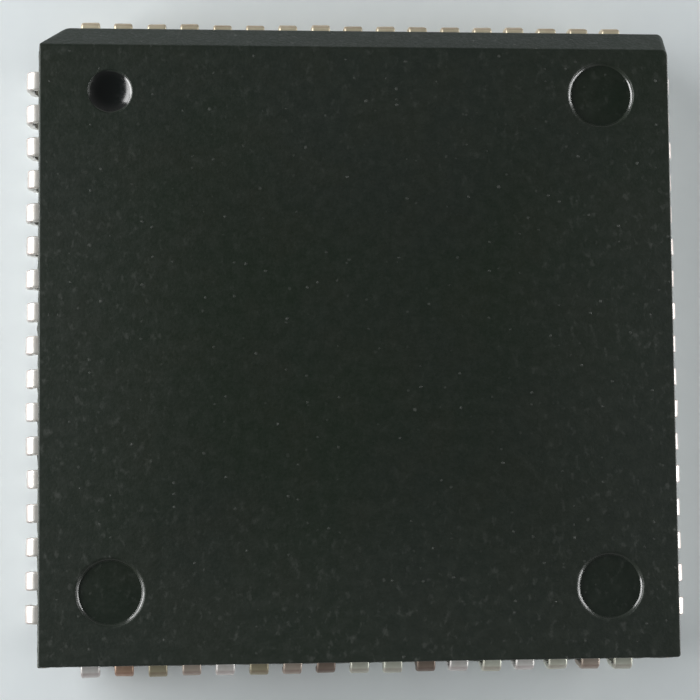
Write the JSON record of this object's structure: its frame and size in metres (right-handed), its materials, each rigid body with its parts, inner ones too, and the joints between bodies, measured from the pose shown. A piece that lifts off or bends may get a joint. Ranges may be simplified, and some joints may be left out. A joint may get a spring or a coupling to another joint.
{
  "type": "plastic leaded chip carrier",
  "caption": "Square black moulded chip package with J-shaped leads curled under all four sides, for soldering to a board or pressing into a socket.",
  "frame": {"origin": "middle of the lead footprint, on the plane that the leads stand on", "axes": "+Z out of the top face, +Y towards the side with the long bevel, the cut index corner at -X +Y"},
  "size_m": [0.0252, 0.0252, 0.0044],
  "materials": {
    "moulding_compound": "matte",
    "tinned_lead": "satin",
    "copper_alloy": "satin",
    "silver_adhesive": "matte",
    "silicon": "polished",
    "gold_wire": "gloss"
  },
  "bodies": {
    "root": {"moulded_body": "moulding_compound", "leads_back": "tinned_lead", "leads_right": "tinned_lead", "leads_front": "tinned_lead", "leads_left": "tinned_lead", "die_paddle": "copper_alloy", "die_attach": "silver_adhesive", "silicon_die": "silicon", "bond_wires_back": "gold_wire", "bond_wires_right": "gold_wire", "bond_wires_front": "gold_wire", "bond_wires_left": "gold_wire"}
  },
  "joints": []
}
